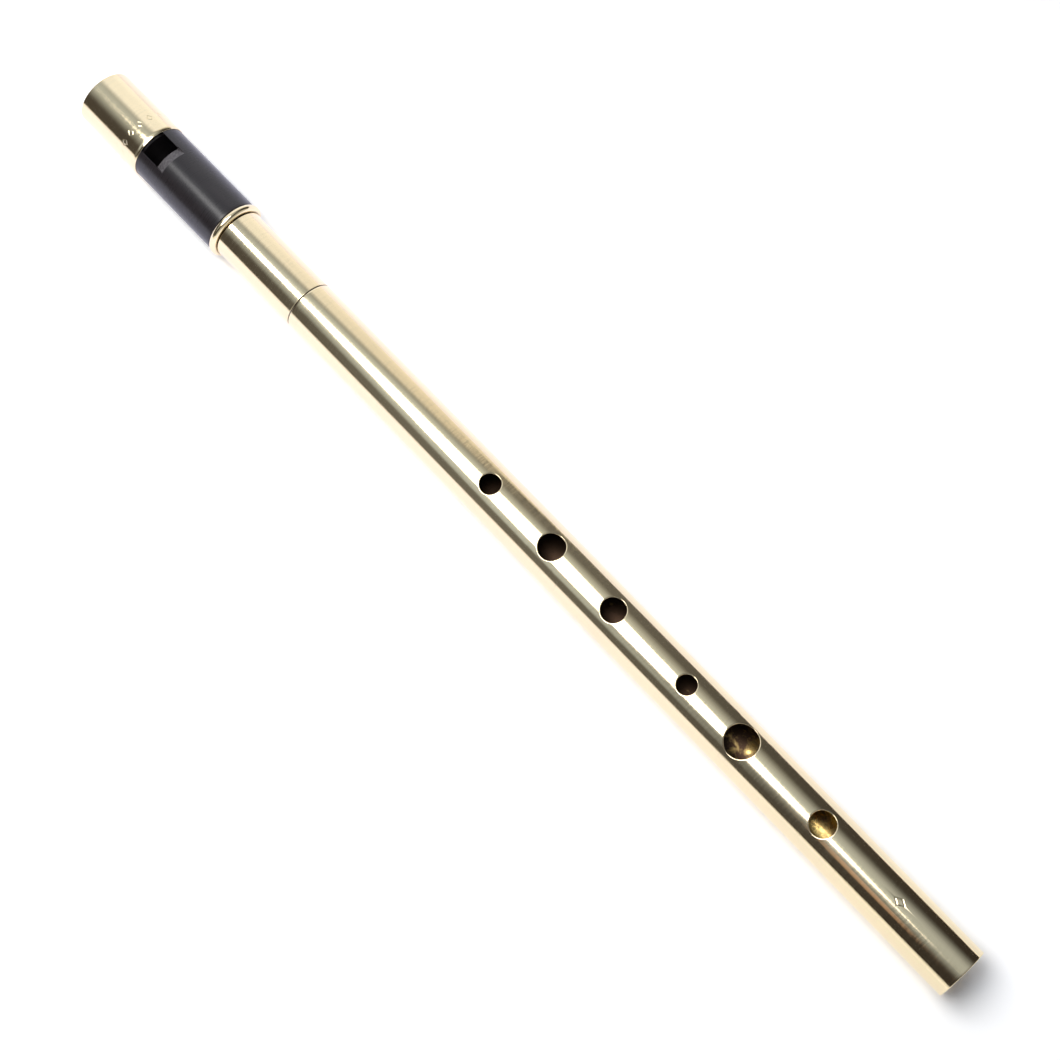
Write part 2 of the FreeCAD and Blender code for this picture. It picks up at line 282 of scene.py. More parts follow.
acetal = {
    "black": (0.0155, 0.0125, 0.014, 1),
    "worn": (0.0205, 0.0170, 0.0185, 1),
    "cut": (0.125, 0.115, 0.118, 1),
    "cutDark": (0.05, 0.045, 0.05, 1),
    # noises as on the brass, and the levels between which each takes effect
    "turning": ((7000, 60, 60), 3, 0.6),
    "clouds": ((120, 300, 300), 4),
    "mottle": ((1800, 1500, 1500), 3, 0.6),
    "turningGloss": (0.35, 0.7),
    "cloudsWear": (0.4, 0.7),
    "mottleCut": (0.35, 0.65),
    "gloss": (0.27, 0.30),
    "cutGloss": 0.55,
    "bump": 0.0011,
    "bumpStrength": 0.3,
}


def makeAcetal():
    # turning lines round the head set the gloss and a fine bump; the cut attribute marks the
    # milled ramp, which is paler and matt
    material, tree, shader = newMaterial("blackAcetal")
    turning = noiseOn(tree, *acetal["turning"])
    clouds = noiseOn(tree, *acetal["clouds"])
    mottle = noiseOn(tree, *acetal["mottle"])
    cut = attributeNode(tree, "cut")
    base = colourMix(tree, rampNode(tree, clouds, *acetal["cloudsWear"]), acetal["black"],
                     acetal["worn"])
    cutColour = colourMix(tree, rampNode(tree, mottle, *acetal["mottleCut"]), acetal["cutDark"],
                          acetal["cut"])
    tree.links.new(colourMix(tree, cut, base, cutColour), shader.inputs["Base Color"])
    gloss = rampNode(tree, turning, *acetal["turningGloss"], *acetal["gloss"])
    glossMix = addNode(tree, "ShaderNodeMix", {0: cut, 2: gloss, 3: acetal["cutGloss"]})
    tree.links.new(glossMix.outputs[0], shader.inputs["Roughness"])
    bump = addNode(tree, "ShaderNodeBump", {"Height": turning, "Distance": acetal["bump"] * mm,
                                            "Strength": acetal["bumpStrength"]})
    tree.links.new(bump.outputs[0], shader.inputs["Normal"])
    return material


blackAcetal = makeAcetal()
print("materials made")


def insideOf(points, radius):
    # 1 on the bore's side of a radius, 0 outside it
    out = np.hypot(points[:, 1], points[:, 2] - place["axis"])
    return (out < radius).astype(float)


ring = {"crown": 8.87, "bead": 1.15, "step": 7.3, "inside": 7.4, "crownLines": 25,
        "around": 192}


def makeHeadRing():
    # the bead is an arc over the ring's width, and its flat sides run down to the stepped tube
    start, end = place["shellEnd"], place["ringEnd"]
    middle, half = (start + end) / 2, (end - start) / 2
    sweep = np.linspace(-1, 1, ring["crownLines"]) * math.asin(half / ring["bead"])
    crown = np.stack(
        [middle + ring["bead"] * np.sin(sweep),
         ring["crown"] - ring["bead"] * (1 - np.cos(sweep))], axis=1
    )
    outline = np.vstack([[[start, ring["step"]]], crown, [[end, ring["step"]]]])
    points, quads = turnedPiece(outline, ring["around"])
    addPiece("headRing", points, quads, polishedBrass, "head", "head_ring",
             {"inside": insideOf(points, ring["inside"])})


tube = {
    "outer": 7.54,
    "bore": 7.03,
    "seat": 7.184,
    "step": 7.3,           # the turned-down end in the head
    "bevel": 0.12,
    "footBevel": 0.2,
    "groove": 0.3,         # crevice beside the ring
    "gap": 0.125,          # from the middle of the seam to either tube
    "headInside": 7.25,    # surfaces nearer to the axis than this are bore
    "bodyInside": 7.22,
    # length at the body tube's seam end that is painted dark as shade
    "seamPaintedShade": 0.06,
    "around": 160,
}


def makeHeadTube():
    # stepped down for the head and ring, with a crevice beside the ring, and bevelled at the seam
    start, seat = place["socketFloor"], place["headSeat"]
    shoulder, end = place["ringEnd"] + tube["groove"], place["seam"] - tube["gap"]
    outer, bore, bevel = tube["outer"], tube["bore"], tube["bevel"]
    outline = roundCorners([
        (start, bore, 0),
        (start, tube["step"], 0),
        (place["ringEnd"], tube["step"], 0),
        (shoulder, tube["step"], 0),
        (shoulder, outer - bevel, cornerRound["edge"]),
        (shoulder + bevel, outer, cornerRound["bevel"]),
        (end - bevel, outer, cornerRound["bevel"]),
        (end, outer - bevel, cornerRound["edge"]),
        (end, tube["seat"], cornerRound["bore"]),
        (seat, tube["seat"], 0),
        (seat, bore, 0),
    ])
    points, quads = turnedPiece(outline, tube["around"])
    # the crevice beside the ring and the end at the seam are painted dark: painted shade, with some
    # dirt
    atShoulder = np.abs(points[:, 0] - place["ringEnd"]) < tube["groove"] + slack
    atSeam = points[:, 0] > end - 0.5 * bevel
    addPiece("headTube", points, quads, polishedBrass, "head", "head_tube",
             {"inside": insideOf(points, tube["headInside"]),
              "paintedShadeAndDirt": (atShoulder | atSeam).astype(float)})


# the half width and fade of the ring of painted shade under the seam are given here too
slide = {"outer": 7.144, "bore": 6.788, "inside": 6.9, "bevel": 0.12, "paintedShadeHalf": 0.4,
         "paintedShadeFade": 0.2, "around": 160}


def makeTuningSlide():
    # a plain tube with bevelled ends, and a ring of painted shade where the closed seam lies over
    # it
    start, end, seam = place["slideStart"], place["slideEnd"], place["seam"]
    outer, bore, bevel = slide["outer"], slide["bore"], slide["bevel"]
    paintedShadeHalf, paintedShadeEnd = slide["paintedShadeHalf"], slide["paintedShadeHalf"] + slide["paintedShadeFade"]
    outline = roundCorners([
        (start, bore, 0),
        (start, outer - bevel, cornerRound["edge"]),
        (start + bevel, outer, cornerRound["bevel"]),
        (seam - paintedShadeEnd, outer, 0),
        (seam - paintedShadeHalf, outer, 0),
        (seam + paintedShadeHalf, outer, 0),
        (seam + paintedShadeEnd, outer, 0),
        (end - bevel, outer, cornerRound["bevel"]),
        (end, outer - bevel, cornerRound["edge"]),
        (end, bore, cornerRound["bore"]),
    ])
    points, quads = turnedPiece(outline, slide["around"])
    # the ring under the closed seam is painted dark: painted shade
    paintedShadeAndDirt = (np.abs(points[:, 0] - seam) < paintedShadeHalf + slack).astype(float)
    addPiece("tuningSlide", points, quads, drawnBrass, "slide", "tuning_slide",
             {"inside": insideOf(points, slide["inside"]), "paintedShadeAndDirt": paintedShadeAndDirt})


plug = {"radius": 7.184, "bevel": 0.4, "rimRound": 0.1, "bevelRound": 0.15, "faceInset": 0.5,
        "faceLines": 7, "around": 128}


def makeFipplePlug():
    # a solid turned plug; its two end faces run in to the axis
    start, end = place["mouth"], place["sleeveEnd"]
    radius, bevel, around = plug["radius"], plug["bevel"], plug["around"]
    rim = roundCorners([
        (start, 0, 0),
        (start, radius, plug["rimRound"]),
        (end - bevel, radius, plug["bevelRound"]),
        (end, radius - bevel, plug["bevelRound"]),
        (end, 0, 0),
    ])
    faceIn = np.linspace(0, radius - bevel - plug["faceInset"], plug["faceLines"] + 1)[1:]
    outline = np.vstack([
        np.stack([np.full(len(faceIn), start), faceIn], axis=1),
        rim[1:-1],
        np.stack([np.full(len(faceIn), end), faceIn[::-1]], axis=1),
    ])
    points, quads = turnedPiece(outline, around, closed=False)
    poles = onAxis(np.array([start, end]), np.zeros(2), np.zeros(2))
    endRows = (np.arange(around), np.arange(len(points) - around, len(points)))
    fans = np.vstack([
        np.stack([row, np.roll(row, -1), np.full(around, len(points) + pole)], axis=1)
        for pole, row in enumerate(endRows)
    ])
    points = np.vstack([points, poles])
    addPiece("fipplePlug", points, quads, blackAcetal, "head", "fipple_plug",
             {"cut": np.zeros(len(points))}, fans=fans)


sleeve = {
    "outer": 8.73,
    "inner": 8.375,
    "inside": 8.45,
    "boreRound": 0.03,
    "bevel": 0.26,          # at the mouth, with a rounding of each of its corners
    "bevelFoot": 0.12,
    "bevelTop": 0.14,
    "roundLength": 1.2,     # the rim at the other end curves down by roundDrop over this length
    "roundDrop": 0.2,
    "roundLines": 9,
    "rimRound": 0.05,
    "aim": 0.5,             # from each end to the corners that only aim its roundings
    "around": 512,
    "markPlace": -147.7,
    "markLength": 1.9,
    "markWidth": 1.5,
    "markCount": 16,
    "markStroke": 0.14,
    "markDepth": 0.06,
    "bandHalf": 0.85,       # the fine lines for the marks reach this many lengths to either side
    "bandLines": 41,
    "markReach": 1.5,
}


def diamondStroke(along, across, length, width, stroke):
    # 1 on the outline of a diamond, falling off smoothly to 0 at a stroke's width from it
    slope = 1 / math.hypot(2 / length, 2 / width)
    offset = (np.abs(along) / (length / 2) + np.abs(across) / (width / 2) - 1) * slope
    share = np.clip(1 - np.abs(offset) / stroke, 0, 1)
    return share * share * (3 - 2 * share)


def makeMouthpieceSleeve():
    # thin tube whose rim is rounded over along an arc, with a round of small punched diamonds near
    # the rim; the first two corners of each end only aim its roundings, and are left out
    start, end = place["mouth"], place["sleeveEnd"]
    outer, inner, bevel = sleeve["outer"], sleeve["inner"], sleeve["bevel"]
    drop, length, aim = sleeve["roundDrop"], sleeve["roundLength"], sleeve["aim"]
    radius = (length ** 2 + drop ** 2) / (2 * drop)
    over = np.linspace(0, length, sleeve["roundLines"])[:-1]
    rim = np.stack([end - length + over, outer - radius + np.sqrt(radius ** 2 - over ** 2)], axis=1)
    half = sleeve["bandHalf"]
    bandLines = np.linspace(-half, half, sleeve["bandLines"])
    band = sleeve["markPlace"] + bandLines * sleeve["markLength"]
    mouthEnd = roundCorners([
        (start + aim, outer, 0),
        (start + aim, inner, 0),
        (start, inner, sleeve["boreRound"]),
        (start, outer - bevel, sleeve["bevelFoot"]),
        (start + bevel, outer, sleeve["bevelTop"]),
    ])[2:]
    rimEnd = roundCorners([
        (end - aim, inner, 0),
        (end - aim, outer - drop, 0),
        (end, outer - drop, sleeve["rimRound"]),
        (end, inner, sleeve["boreRound"]),
    ])[2:]
    flat = np.stack([band, np.full(len(band), outer)], axis=1)
    outline = np.vstack([mouthEnd, flat, rim, rimEnd])
    around = sleeve["around"]
    angle = np.repeat(np.linspace(0, 2 * math.pi, around, endpoint=False)[None], len(outline), 0)
    along = np.repeat(outline[:, :1], around, axis=1)
    out = np.repeat(outline[:, 1:], around, axis=1)
    pitch = 2 * math.pi / sleeve["markCount"]
    across = ((angle + pitch / 2) % pitch - pitch / 2) * outer
    fromMark = along - sleeve["markPlace"]
    stroke = diamondStroke(fromMark, across, sleeve["markLength"], sleeve["markWidth"],
                           sleeve["markStroke"])
    onBand = (out > outer - 0.1 * slack) & (np.abs(fromMark) < sleeve["markReach"])
    out = out - np.where(onBand, stroke * sleeve["markDepth"], 0)
    points = onAxis(along, out, angle).reshape(-1, 3)
    numbers = np.arange(len(points)).reshape(-1, around)
    addPiece("mouthpieceSleeve", points, gridQuads(numbers, wrapRows=True, wrapColumns=True),
             polishedBrass, "head", "mouthpiece_sleeve",
             {"inside": insideOf(points, sleeve["inside"])})


makeHeadRing()
makeHeadTube()
makeTuningSlide()
makeFipplePlug()
makeMouthpieceSleeve()


shell = {
    "outer": 8.375,
    "bore": 7.184,
    "socket": 7.3,
    "slotHalf": 3.95,
    "rampHalf": 29.5,       # degrees
    "lip": 0.15,
    "edge": 0.06,           # bevel along the slot
    "endDrop": 0.1,         # bevel at the two ends, as wide as it is deep,
    "endSoft": 0.02,        # with a slighter one before it at the ring's end
    "endSoftRun": 0.25,
    "mainLines": 132,
    "slotLines": 25,
    "rampLines": 9,
    "bladeSharp": 0.001,    # from the last line of the slot to the blade
    # stretches of lines along the shell: distances from the places before and after, and count
    "underSleeve": (2, 0, 8),
    "inWindow": (0.6, 0.1, 9),
    "pastRamp": (1, 1, 12),
    "inBore": (1, 0.5, 8),
    "inSocket": (1, 0, 6),
    "rampFine": 0.004,      # turns of the lines close to the ramp's sides, in radians
    "rampCoarse": 0.02,
    "restTurn": 0.06,
    "sharpAngle": 30,
}


def stretch(start, end, after, before, count):
    # evenly spaced lines between two places, from so far after the one to so far before the other
    return np.linspace(start + after, end - before, count)


def makeHeadShell():
    # an outer and an inner skin on one table of lines round the head; the slot's lines are left
    # open up to the blade, side walls join the skins there, and past it the ramp lowers the outer
    start, blade, rampEnd = place["mouth"], place["blade"], place["rampEnd"]
    sleeveEnd, floor, end = place["sleeveEnd"], place["socketFloor"], place["shellEnd"]
    outer, bore, endDrop = shell["outer"], shell["bore"], shell["endDrop"]

    # turns of the lines round the head, from one side of the slot to the other, then in the slot
    outerEdge = math.asin(shell["slotHalf"] / outer)
    innerEdge = math.asin(shell["slotHalf"] / bore)
    rampHalf = math.radians(shell["rampHalf"])
    side, restTurn = rampHalf - outerEdge, shell["restTurn"]
    fine = np.array([shell["edge"] / outer, side - shell["rampFine"], side + shell["rampFine"],
                     side + shell["rampCoarse"]])
    wide = 2 * math.pi - 2 * outerEdge
    rest = np.linspace(restTurn, wide - restTurn, shell["mainLines"])
    mainOut = np.concatenate([[0], fine, rest, wide - fine[::-1], [wide]])
    mainIn = mainOut / wide * (2 * math.pi - 2 * innerEdge) + innerEdge
    mainOut = mainOut + outerEdge
    slotShare = np.linspace(-1, 1, shell["slotLines"] + 2)[1:-1]
    angleOut = np.concatenate([mainOut, 2 * math.pi + slotShare * outerEdge])
    angleIn = np.concatenate([mainIn, 2 * math.pi + slotShare * innerEdge])
    mainCount, total = len(mainOut), len(angleOut)
    slotRing = np.r_[mainCount - 1, np.arange(mainCount, total), 0]

    # places of the lines along the head; the doubled place is the step down into the socket
    toBlade = np.concatenate([
        [start, start + endDrop],
        stretch(start, sleeveEnd, *shell["underSleeve"]),
        stretch(sleeveEnd, blade, *shell["inWindow"]),
        [blade - shell["bladeSharp"], blade],
    ])
    xOut = np.concatenate([
        toBlade,
        np.linspace(blade, rampEnd, shell["rampLines"])[1:],
        [rampEnd + endDrop],
        stretch(rampEnd, end, *shell["pastRamp"]),
        [end - shell["endSoftRun"], end - endDrop, end],
    ])
    socket = np.concatenate([[floor], stretch(floor, end, *shell["inSocket"])])
    xIn = np.concatenate([toBlade, stretch(blade, floor, *shell["inBore"]), [floor], socket])
    inner = np.full(len(xIn), bore)
    inner[-len(socket):] = shell["socket"]

    atBlade = len(toBlade) - 1
    height = np.full((len(xOut), total), outer)
    height[[0, -1], :] -= endDrop
    height[-2] -= shell["endSoft"]
    height[:atBlade, [0, mainCount - 1]] -= shell["edge"]
    turnFromTop = np.abs((angleOut + math.pi) % (2 * math.pi) - math.pi)
    onRamp = np.ix_((xOut >= blade) & (xOut <= rampEnd + 0.1 * slack), turnFromTop < rampHalf)
    low = bore + shell["lip"]
    slope = low + (outer - low) * (xOut - blade) / (rampEnd - blade)
    height[onRamp] = np.repeat(slope[:, None], total, axis=1)[onRamp]
    cut = np.zeros_like(height)
    cut[onRamp] = 1

    skins = [
        onAxis(np.repeat(x[:, None], total, axis=1), radius,
               np.repeat(angle[None] + headTurn, len(x), axis=0)).reshape(-1, 3)
        for x, radius, angle in (
            (xOut, height, angleOut),
            (xIn, np.repeat(inner[:, None], total, axis=1), angleIn),
        )
    ]
    out = np.arange(len(xOut) * total).reshape(-1, total)
    within = out.size + np.arange(len(xIn) * total).reshape(-1, total)
    toEdge = slice(0, atBlade + 1)
    quads = np.vstack([
        gridQuads(out[:, :mainCount]),
        gridQuads(within[:, :mainCount]),
        gridQuads(out[atBlade:][:, slotRing]),
        gridQuads(within[atBlade:][:, slotRing]),
        gridQuads(np.stack([out[0, :mainCount], within[0, :mainCount]])),
        gridQuads(np.stack([out[-1], within[-1]]), wrapColumns=True),
        gridQuads(np.stack([out[atBlade, slotRing], within[atBlade, slotRing]])),
        gridQuads(np.stack([out[toEdge, 0], within[toEdge, 0]])),
        gridQuads(np.stack([out[toEdge, mainCount - 1], within[toEdge, mainCount - 1]])),
    ])
    marks = {"cut": np.concatenate([cut.ravel(), np.zeros(within.size)])}
    addPiece("headShell", np.vstack(skins), quads, blackAcetal, "head",
             "head_shell", marks, shell["sharpAngle"])


makeHeadShell()


holes = {
    # distance of the centre from the foot, and diameter
    "drilled": {
        "first": (169.2, 5.8),
        "second": (145.7, 7.4),
        "third": (122.6, 6.8),
        "fourth": (95.9, 5.4),
        "fifth": (76.3, 9.0),
        "sixth": (48.1, 6.9),
    },
    "rim": 0.3,             # rounding of the outer edge of each hole
    "rimGap": 0.03,
    "rimLines": 8,
    "innerRim": 0.05,
    "step": 0.4,            # spacing of the lines round a hole
    "linesBeside": 16,      # how many of them lie to either side of the top
    "margin": 1.1,          # least width of the patch round a hole
    "outerShares": (0.3, 0.55, 0.75, 0.9),   # of the circle in the rings from square to rim
    "innerShares": (0.9, 0.6, 0.3),
}
mark = {"place": 144.05, "length": 3.2, "width": 2.0, "stroke": 0.2, "depth": 0.1, "reach": 0.55,
        "step": 0.11, "fineHalf": 1.2, "fineLines": 19}
skinLines = {"endStep": 0.5, "wideStep": 4, "seatStep": 6, "wideLines": 72, "bevelLines": 5}


def linesBetween(stops, fineStep, wideStep):
    # rising lines through (from, to) stretches of fine lines, with wide steps between them
    lines = []
    for number, (low, high) in enumerate(stops):
        if number:
            gap = low - stops[number - 1][1]
            lines.append(np.linspace(low - gap, low, max(2, math.ceil(gap / wideStep)) + 1)[1:-1])
        lines.append(np.linspace(low, high, max(1, round((high - low) / fineStep)) + 1))
    return np.concatenate(lines)


def nearest(values, target):
    return int(np.argmin(np.abs(values - target)))


def squareLoop(first, last, low, high):
    # rows and columns of the table's points once round the patch between these rows and columns
    rows = np.concatenate([np.full(high - low, last), np.arange(last, first, -1),
                           np.full(high - low, first), np.arange(first, last)])
    columns = np.concatenate([np.arange(low, high), np.full(last - first, high),
                              np.arange(high, low, -1), np.full(last - first, low)])
    return rows, columns


def holeRings(centre, radius, squareX, squareTurn):
    # rings from a square round a hole to the hole's edge, over its rounded rim, down its wall,
    # and out again to the same square on the inner skin
    outer, bore = tube["outer"], tube["bore"]
    rim, innerRim = holes["rim"], holes["innerRim"]
    heading = np.arctan2(squareTurn * outer, squareX)

    def blended(plan, skin, share=1.0):
        # a circle seen from above, laid on a skin: share 0 is the square and share 1 the circle
        x = (1 - share) * squareX + share * plan * np.cos(heading)
        angle = np.arcsin(plan * np.sin(heading) / skin)
        angle = (1 - share) * squareTurn + share * angle
        return np.stack([centre + x, skin * np.sin(angle),
                         place["axis"] + skin * np.cos(angle)], axis=-1)

    rings = [blended(radius + rim, outer, share) for share in holes["outerShares"]]
    rings.append(blended(radius + rim + holes["rimGap"], outer))
    for over in np.linspace(0, 0.5 * math.pi, holes["rimLines"]):
        ring = blended(radius + rim * (1 - math.sin(over)), outer)
        ring[:, 2] -= rim * (1 - math.cos(over))
        rings.append(ring)
    wall = blended(radius, bore)
    top, bottom = rings[-1][:, 2], wall[:, 2] + innerRim
    for share in (0.5, 1):
        ring = wall.copy()
        ring[:, 2] = top + (bottom - top) * share
        rings.append(ring)
    rings.append(blended(radius + innerRim, bore))
    rings += [blended(radius + innerRim, bore, share) for share in holes["innerShares"]]
    return np.stack(rings)


def makeBodyTube():
    # two skins of x lines by lines round the tube; round each hole a square patch of the table is
    # taken out of both and filled with rings
    start, end, seat = place["seam"] + tube["gap"], place["foot"], place["bodySeat"]
    outer, bore, step = tube["outer"], tube["bore"], holes["step"]
    near, wideStep = skinLines["endStep"], skinLines["wideStep"]

    # turns of the lines, from 0 at the top: close beside the holes, finer still under the mark
    fineHalf = mark["fineHalf"]
    beside = np.arange(round(fineHalf / step) + 1, holes["linesBeside"] + 1) * step
    arcs = np.concatenate([-beside[::-1], np.linspace(-fineHalf, fineHalf, mark["fineLines"]),
                           beside])
    reach = beside[-1]
    wide = np.linspace(reach, 2 * math.pi * outer - reach, skinLines["wideLines"])[1:-1]
    turn = np.concatenate([arcs, wide]) / outer
    around = len(turn)

    # places of the lines along both skins, and how far the bevels at the two ends drop
    squares = []
    for fromFoot, across in holes["drilled"].values():
        centre, radius = end - fromFoot, across / 2
        half = math.ceil((radius + holes["margin"]) / step) * step
        side = math.ceil((outer * math.asin(radius / outer) + holes["margin"]) / step) * step
        squares.append((centre, radius, half, side))
    stops = [(centre - half, centre + half) for centre, _, half, _ in squares]
    markReach = mark["reach"] * mark["length"]
    bend = np.linspace(0, 0.5 * math.pi, skinLines["bevelLines"])
    inwards, drops = 1 - np.cos(bend), np.sin(bend) - 1
    seamEnd, footEnd = tube["bevel"], tube["footBevel"]
    middle = linesBetween([(start + near, start + 2 * near)] + stops, step, wideStep)
    marked = linesBetween([stops[-1], (mark["place"] - markReach, mark["place"] + markReach),
                           (end - 2 * near, end - near)], mark["step"], wideStep)
    marked = marked[marked > stops[-1][1] + 0.1 * slack]
    xOut = np.concatenate([start + seamEnd * inwards, middle, marked,
                           end - footEnd * inwards[::-1]])
    drop = np.concatenate([seamEnd * drops, np.zeros(len(middle) + len(marked)),
                           footEnd * drops[::-1]])
    inStart = linesBetween([(start, start + near), (seat - near, seat)], near,
                           skinLines["seatStep"])
    inRest = linesBetween([(seat, seat + near)] + stops + [(end - near, end)], step, wideStep)
    xIn = np.concatenate([inStart, inRest])
    radiusIn = np.concatenate([np.full(len(inStart), tube["seat"]), np.full(len(inRest), bore)])

    fromMark = xOut[:, None] - mark["place"]
    stroke = diamondStroke(fromMark, turn[None] * outer, mark["length"], mark["width"],
                           mark["stroke"])
    onMark = np.abs(fromMark) < mark["length"]
    heightOut = outer + drop[:, None] - np.where(onMark, stroke * mark["depth"], 0)
    skins = [
        # the turn is measured the other way round, from +Z towards +Y
        onAxis(np.repeat(x[:, None], around, axis=1), radius,
               np.repeat(-turn[None], len(x), axis=0)).reshape(-1, 3)
        for x, radius in ((xOut, heightOut), (xIn, np.repeat(radiusIn[:, None], around, axis=1)))
    ]
    out = np.arange(len(xOut) * around).reshape(-1, around)
    within = out.size + np.arange(len(xIn) * around).reshape(-1, around)
    wholeOut = np.ones((len(xOut) - 1, around), dtype=bool)
    wholeIn = np.ones((len(xIn) - 1, around), dtype=bool)
    points, quads, count = list(skins), [], out.size + within.size

    for centre, radius, half, side in squares:
        turns = [nearest(arcs, limit) for limit in (-side, side)]
        edges = []
        for x, numbers, whole in ((xOut, out, wholeOut), (xIn, within, wholeIn)):
            ends = [nearest(x, limit) for limit in (centre - half, centre + half)]
            whole[slice(*ends), slice(*turns)] = False
            rows, columns = squareLoop(*ends, *turns)
            edges.append(numbers[rows, columns])
        rings = holeRings(centre, radius, x[rows] - centre, turn[columns])
        ringNumbers = count + np.arange(rings.shape[0] * rings.shape[1]).reshape(rings.shape[:2])
        count += ringNumbers.size
        points.append(rings.reshape(-1, 3))
        quads.append(gridQuads(np.vstack([edges[0], ringNumbers, edges[1]]), wrapColumns=True))

    quads += [
        gridQuads(out, wrapColumns=True)[wholeOut.ravel()],
        gridQuads(within, wrapColumns=True)[wholeIn.ravel()],
        gridQuads(np.stack([out[0], within[0]]), wrapColumns=True),
        gridQuads(np.stack([out[-1], within[-1]]), wrapColumns=True),
    ]
    points = np.vstack(points)
    # the end at the seam is painted dark: painted shade
    addPiece("bodyTube", points, np.vstack(quads), polishedBrass, "body",
             "body_tube", {"inside": insideOf(points, tube["bodyInside"]),
                           "paintedShadeAndDirt": (points[:, 0] < start + tube["seamPaintedShade"]).astype(float)})


makeBodyTube()
print("whistle dressed")


floorLook = {
    "size": 6.0,
    "colour": (0.86, 0.86, 0.86, 1),
    "shown": (1.35, 1.35, 1.35, 1),            # paler to the eye than as a bouncer of light,
    "mirroredHead": (1.12, 1.11, 1.30, 1),     # and in reflections, beside the head and the foot
    "mirroredFoot": (1.18, 1.18, 1.23, 1),
    "mirroredFade": (0.0, 0.15),
    "mirroredFar": (0.1, 0.3),      # farther to the side than this the mirrored floor is even,
    "shownFar": (0.20, 0.31),       # and farther off all round than this the shown floor is
    "white": (1, 1, 1, 1),
}


def makeFloor():
    # a plain white floor, paler to the camera and in reflections than to the light it bounces;
    # far from the whistle it is even, whatever light falls there
    half = floorLook["size"] / 2
    mesh = bpy.data.meshes.new("floor")
    corners = [(-half, -half, 0), (half, -half, 0), (half, half, 0), (-half, half, 0)]
    mesh.from_pydata(corners, [], [(0, 1, 2, 3)])
    floor = bpy.data.objects.new("floor", mesh)
    bpy.context.collection.objects.link(floor)
    material = bpy.data.materials.new("floorWhite")
    material.use_nodes = True
    tree = material.node_tree
    tree.nodes.clear()
    rays = addNode(tree, "ShaderNodeLightPath").outputs
    toCamera = rays["Is Camera Ray"]
    mirrored = mathNode(tree, "MAXIMUM", rays["Is Glossy Ray"], rays["Is Transmission Ray"])
    spot = addNode(tree, "ShaderNodeTexCoord").outputs["Object"]
    along, across = addNode(tree, "ShaderNodeSeparateXYZ", {0: spot}).outputs[:2]
    distance = addNode(tree, "ShaderNodeVectorMath", {0: spot}, operation="LENGTH").outputs["Value"]
    inMirror = colourMix(tree, rampNode(tree, along, *floorLook["mirroredFade"]),
                         floorLook["mirroredHead"], floorLook["mirroredFoot"])
    colour = colourMix(tree, mirrored, floorLook["colour"], inMirror)
    colour = colourMix(tree, toCamera, colour, floorLook["shown"])
    lit = addNode(tree, "ShaderNodeBsdfDiffuse", {"Color": colour}).outputs[0]
    farColour = colourMix(tree, toCamera, inMirror, floorLook["white"])
    even = addNode(tree, "ShaderNodeEmission", {"Color": farColour}).outputs[0]
    beside = rampNode(tree, mathNode(tree, "ABSOLUTE", across), *floorLook["mirroredFar"])
    farMirrored = mathNode(tree, "MULTIPLY", beside, mirrored)
    farOff = rampNode(tree, distance, *floorLook["shownFar"])
    farShown = mathNode(tree, "MULTIPLY", farOff, toCamera)
    far = mathNode(tree, "MAXIMUM", farShown, farMirrored)
    surface = addNode(tree, "ShaderNodeMixShader", {0: far, 1: lit, 2: even}).outputs[0]
    addNode(tree, "ShaderNodeOutputMaterial", {"Surface": surface})
    mesh.materials.append(material)


lamps = {
    "height": 0.5,
    "middle": (-0.104, -0.117),
    "across": 0.41,             # the round lamp, and the square one on its corner that crosses it
    "square": 0.372,
    "squareTurn": 45,
    "squareRise": 0.001,
    "radiance": 2.4,
    "tint": (1.02, 1.0, 0.98),
    "tipPlace": (-0.347, -0.108, 0.499),   # a blunt end for the lamp over the mouth's side
    "tipSize": (0.145, 0.17),
    "tipRadiance": 5.6,
    "warmPlace": (0.129, -0.25, 0.31),     # weak warm bounce beside the foot
    "warmTarget": (0.14, 0, 0.009),
    "warmSize": (0.05, 0.10),
    "warmRadiance": 0.36,
    "warmTint": (1.0, 0.62, 0.42),
}


def addAreaLight(name, location, facing, size, radiance, tint=(1, 1, 1), spin=0.0, shape="ELLIPSE"):
    # an area light whose face has the given radiance: power is radiance x pi x area
    light = bpy.data.lights.new(name, "AREA")
    light.shape = shape
    light.size, light.size_y = size
    area = size[0] * size[1] * (math.pi / 4 if shape == "ELLIPSE" else 1)
    light.color = tint
    light.energy = radiance * math.pi * area
    lamp = bpy.data.objects.new(name, light)
    bpy.context.collection.objects.link(lamp)
    aim = Vector(facing).to_track_quat("-Z", "Y").to_matrix().to_4x4()
    lamp.matrix_world = Matrix.Translation(location) @ aim @ Matrix.Rotation(spin, 4, "Z")
    lamp.visible_camera = False


def addLights():
    # a round lamp crossed by a square one that stands on its corner, its blunt end over the mouth,
    # and a weak warm bounce
    down, (x, y) = (0, 0, -1), lamps["middle"]
    height, radiance, tint = lamps["height"], lamps["radiance"], lamps["tint"]
    across, square = lamps["across"], lamps["square"]
    addAreaLight("round", (x, y, height), down, (across, across), radiance, tint)
    addAreaLight("square", (x, y, height + lamps["squareRise"]), down, (square, square), radiance,
                 tint, math.radians(lamps["squareTurn"]), "RECTANGLE")
    addAreaLight("tip", lamps["tipPlace"], down, lamps["tipSize"], lamps["tipRadiance"], tint)
    toWhistle = Vector(lamps["warmTarget"]) - Vector(lamps["warmPlace"])
    addAreaLight("warmBounce", lamps["warmPlace"], toWhistle, lamps["warmSize"],
                 lamps["warmRadiance"], lamps["warmTint"], shape="RECTANGLE")


